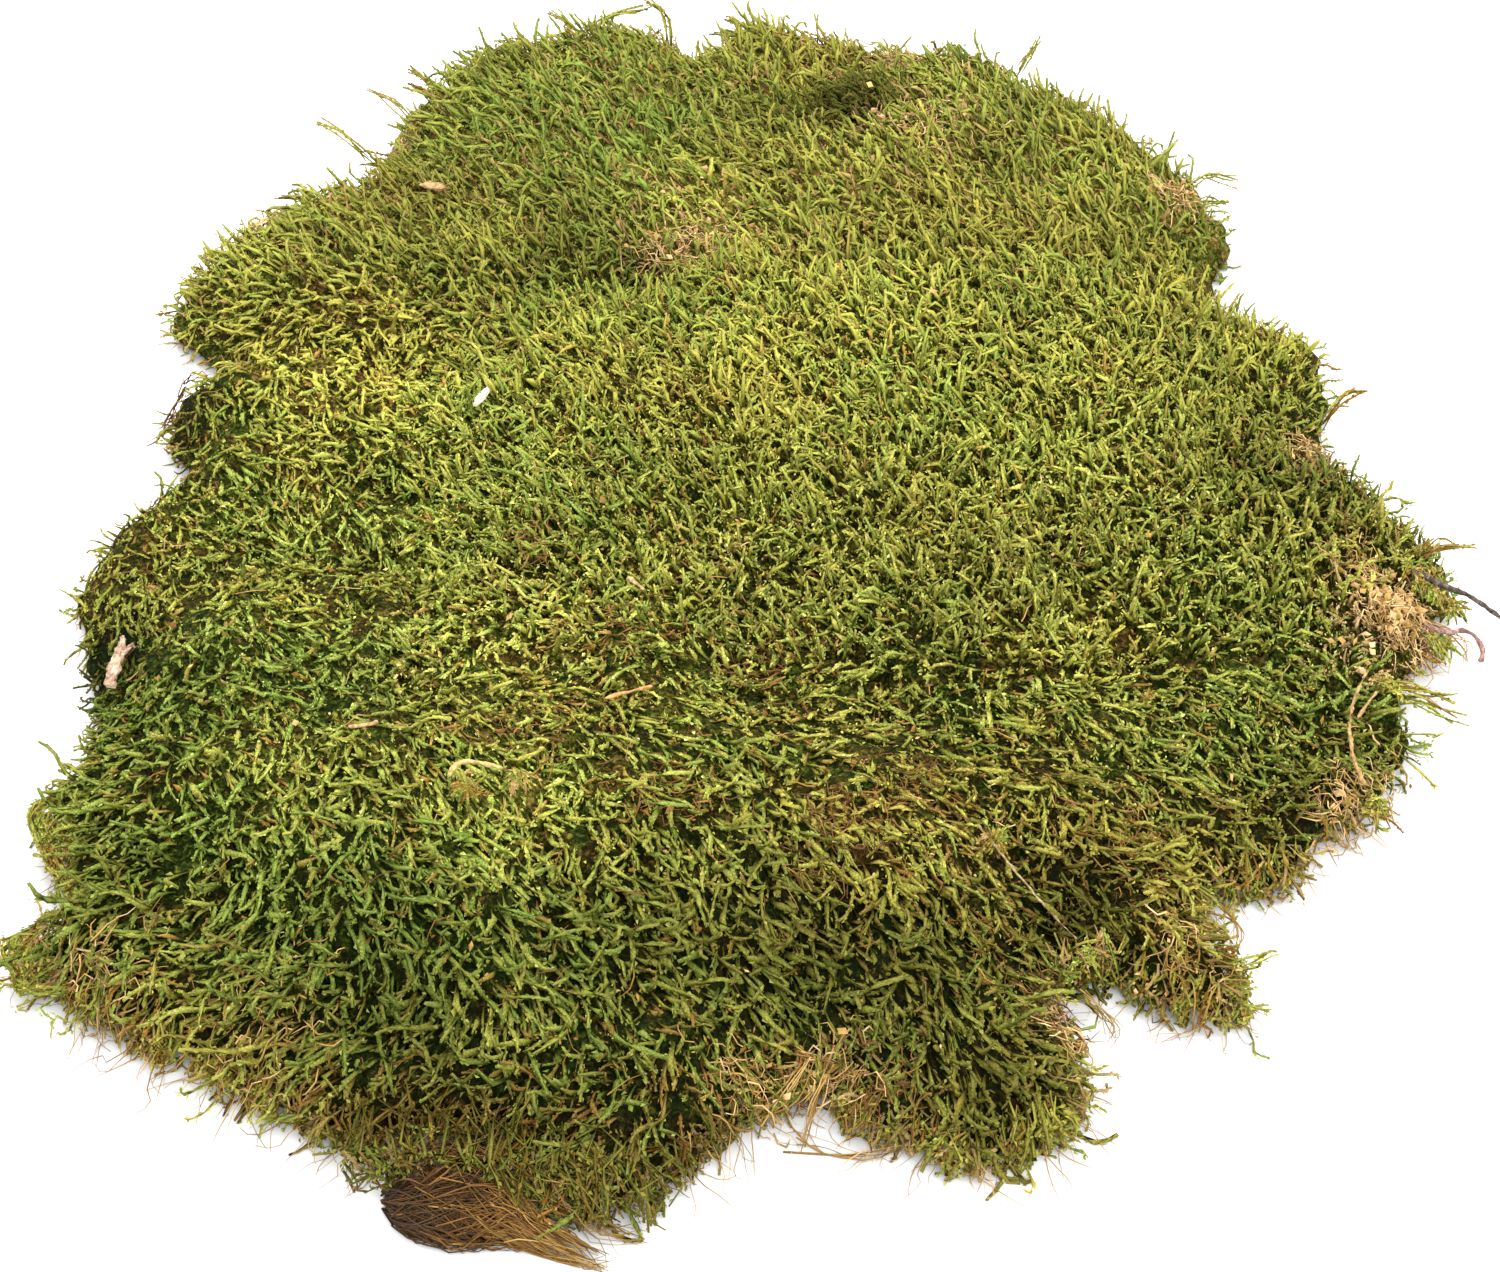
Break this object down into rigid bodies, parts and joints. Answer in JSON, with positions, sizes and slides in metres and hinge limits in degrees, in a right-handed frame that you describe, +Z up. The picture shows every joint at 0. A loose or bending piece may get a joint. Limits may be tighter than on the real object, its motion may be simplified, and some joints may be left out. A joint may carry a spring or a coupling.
{
  "type": "moss clump",
  "caption": "Torn, lobed mat of creeping sheet moss lying flat on its cut underside, thicker towards the front edge, with dry litter resting on it.",
  "frame": {"origin": "on the underside plane, at the middle of the whole part's box", "axes": "+Z up from the cut underside, +Y from the thick front edge to the far edge, +X to the right seen from the front"},
  "size_m": [0.2434, 0.3088, 0.0282],
  "materials": {
    "moss": "matte leafy moss shoots, yellow-green to dark green",
    "root_fibre": "matte matted brown root fibre",
    "bark": "rough dry bark and leaf scrap",
    "twig": "rough dark bark",
    "straw": "dry straw, slightly shiny",
    "sliver": "pale dry chip",
    "dry_curl": "reddish dry stem"
  },
  "bodies": {
    "root": {"moss_mat": "moss", "root_wad": "root_fibre", "bark_flake": "bark", "dead_leaf": "bark", "dark_twig": "twig", "forked_stem": "straw", "forked_stem_branch": "straw", "pale_stem": "straw", "hooked_straw": "straw", "short_straw": "straw", "orange_straw": "straw", "bent_straw": "straw", "pale_sliver": "sliver", "dry_curl": "dry_curl"}
  },
  "joints": []
}
